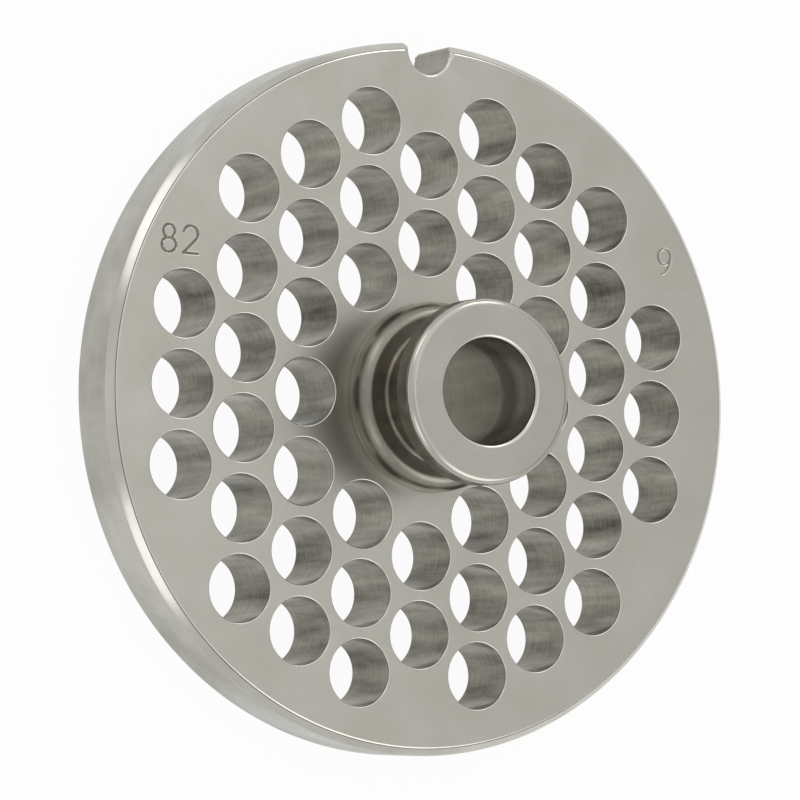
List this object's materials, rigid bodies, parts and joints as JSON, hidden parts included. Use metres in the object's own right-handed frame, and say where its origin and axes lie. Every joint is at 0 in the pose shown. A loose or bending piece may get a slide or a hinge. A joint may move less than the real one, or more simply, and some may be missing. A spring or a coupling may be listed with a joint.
{
  "type": "meat grinder plate",
  "caption": "Round steel grinder plate with a triangular field of cutting holes, a key notch in its rim and a waisted hub bored for the stud.",
  "frame": {"origin": "on the axis of the rim, the hub and the bore, in the rear face, which the knife runs on and the plate rests on", "axes": "+Z along that axis, from the rear face to the hub's head; +Y to the key notch; +X to the right of the notch, seen from the hub side"},
  "size_m": [0.082, 0.0819, 0.022],
  "materials": {
    "stainless_steel": "ground"
  },
  "bodies": {
    "root": {"grinder_plate": "stainless_steel"}
  },
  "joints": []
}
